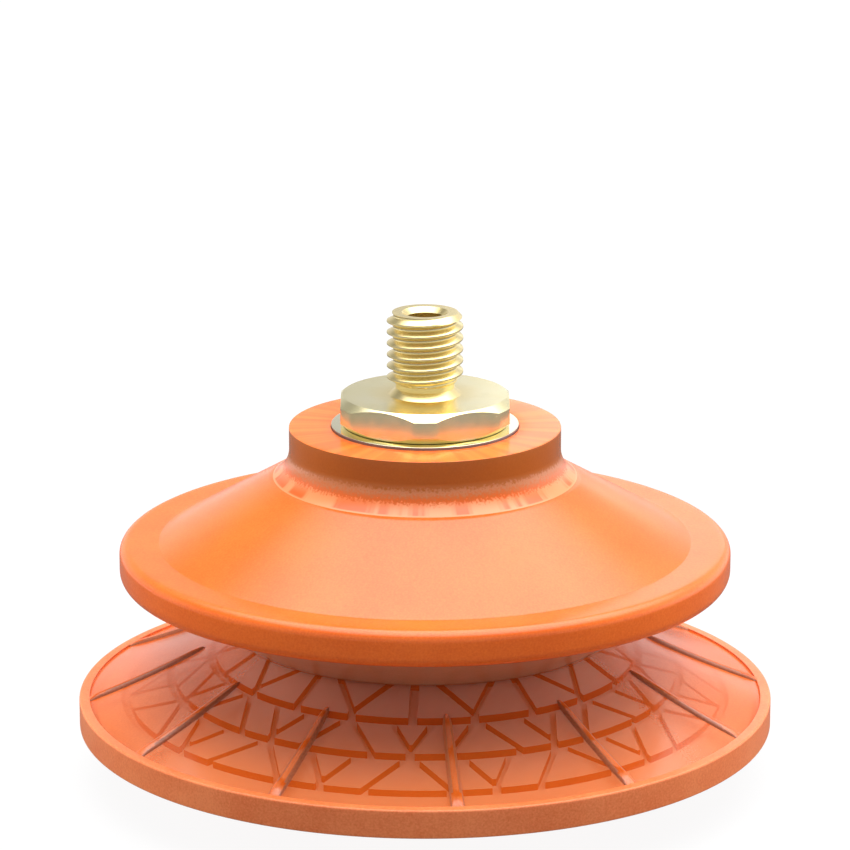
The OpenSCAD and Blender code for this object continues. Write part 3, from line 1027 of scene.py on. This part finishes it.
def floor():
    """A plain white floor, low enough for the lip to tilt above it.

    The camera sees it as nearly pure white, and looks through it from below. The light that it
    gives the cup is set apart from that: it throws back little, and its patch under the cup
    gives off light, so that the underside isn't black.
    """
    mesh = bpy.data.meshes.new("floor")
    half = 3.0
    corners = [(-half, -half, 0), (half, -half, 0), (half, half, 0), (-half, half, 0)]
    mesh.from_pydata(corners, [], [(0, 1, 2, 3)])
    made = bpy.data.objects.new("floor", mesh)
    made.location.z = cad_low.z - FLOOR_DROP * MM
    bpy.context.scene.collection.objects.link(made)
    material = bpy.data.materials.new("floor_white")
    tree = Tree(material)
    reach = tree.node("VectorMath", operation="LENGTH")
    tree.put(reach, 0, tree.node("TexCoord").outputs["Object"])
    paper = tree.node("BsdfDiffuse")
    tree.put(paper, "Color", tree.ramp(reach.outputs["Value"], [(0.1, 0.13), (0.2, 0.12), (0.45, 0.5)]))
    footprint = tree.node("Emission", Strength=1.0)
    tree.put(footprint, "Color", tree.ramp(reach.outputs["Value"], [(0.025, 0.8), (0.042, 0.0)]))
    ground = tree.node("AddShader")
    tree.put(ground, 0, paper.outputs[0])
    tree.put(ground, 1, footprint.outputs[0])
    glow = tree.node("Emission", Color=(1, 1, 1, 1), Strength=1.0)
    shade = tree.node("BsdfDiffuse", Color=(0.85, 0.85, 0.85, 1))
    seen = tree.node("MixShader", Fac=0.92)
    tree.put(seen, 1, shade.outputs[0])
    tree.put(seen, 2, glow.outputs[0])
    path = tree.node("LightPath")
    front = tree.node("MixShader")
    tree.put(front, 0, path.outputs["Is Camera Ray"])
    tree.put(front, 1, ground.outputs[0])
    tree.put(front, 2, seen.outputs[0])
    clear = tree.node("BsdfTransparent")
    both = tree.node("MixShader")
    tree.put(both, 0, tree.node("NewGeometry").outputs["Backfacing"])
    tree.put(both, 1, front.outputs[0])
    tree.put(both, 2, clear.outputs[0])
    out = tree.node("OutputMaterial")
    tree.put(out, "Surface", both.outputs[0])
    mesh.materials.append(material)


def lights():
    """Soft studio light: a large bright ceiling that leans to the right, in a dim room with a dark ground.

    The camera sees plain white in the room's place.
    """
    world = bpy.data.worlds.new("studio")
    bpy.context.scene.world = world
    tree = Tree(world)
    way = tree.node("TexCoord").outputs["Generated"]
    ceiling = tree.node("VectorMath", operation="DOT_PRODUCT")
    tree.put(ceiling, 0, way)
    tree.put(ceiling, 1, Vector((0.09, 0.12, 1)).normalized())
    height = tree.span(ceiling.outputs["Value"], 0, 1)
    height.node.inputs["From Min"].default_value = -1
    dome = tree.ramp(height, [
        (0.0, 0.02), (0.49, 0.06), (0.51, 0.19), (0.62, 0.2), (0.69, 0.16), (0.76, 0.08), (0.84, 0.12),
        (0.9, 0.62), (0.95, 1.05), (1.0, 1.2),
    ])
    side = tree.node("VectorMath", operation="DOT_PRODUCT")
    tree.put(side, 0, way)
    tree.put(side, 1, Vector((0.83, 0.45, 0.33)).normalized())
    window = tree.ramp(side.outputs["Value"], [(0.72, 0.0), (0.95, 0.19)])
    total = tree.node("VectorMath", operation="ADD")
    tree.put(total, 0, dome)
    tree.put(total, 1, window)
    lit = tree.node("Background", Strength=3.7)
    tree.put(lit, "Color", total.outputs["Vector"])
    white = tree.node("Background", Color=(1, 1, 1, 1), Strength=1.0)
    mix = tree.node("MixShader")
    tree.put(mix, 0, tree.node("LightPath").outputs["Is Camera Ray"])
    tree.put(mix, 1, lit.outputs[0])
    tree.put(mix, 2, white.outputs[0])
    out = tree.node("OutputWorld")
    tree.put(out, "Surface", mix.outputs[0])

    def panel(name, place, aim, size, power, mirrored):
        data = bpy.data.lights.new(name, "AREA")
        data.shape = "SQUARE"
        data.size = size
        data.energy = power
        made = bpy.data.objects.new(name, data)
        made.location = place
        made.rotation_euler = (Vector(aim) - Vector(place)).to_track_quat("-Z", "Y").to_euler()
        made.visible_glossy = mirrored
        bpy.context.scene.collection.objects.link(made)

    panel("right_fill", (0.6, 0.2, 0.16), (0, 0, 0.03), 0.3, 1.4, False)
    panel("left_fill", (-0.6, 0.2, 0.16), (0, 0, 0.03), 0.3, 2.1, False)
    panel("back_right", (0.14, 0.7, 0.25), (0, 0, 0.04), 0.25, 0.16, True)


camera()
floor()
lights()
bpy.context.scene.view_settings.view_transform = "Standard"

collar()
shoulder()
upper_bellows()
lower_bellows()
lip()
stud()
washer()
seal_ring()
insert()
filter_disc()
retaining_ring()
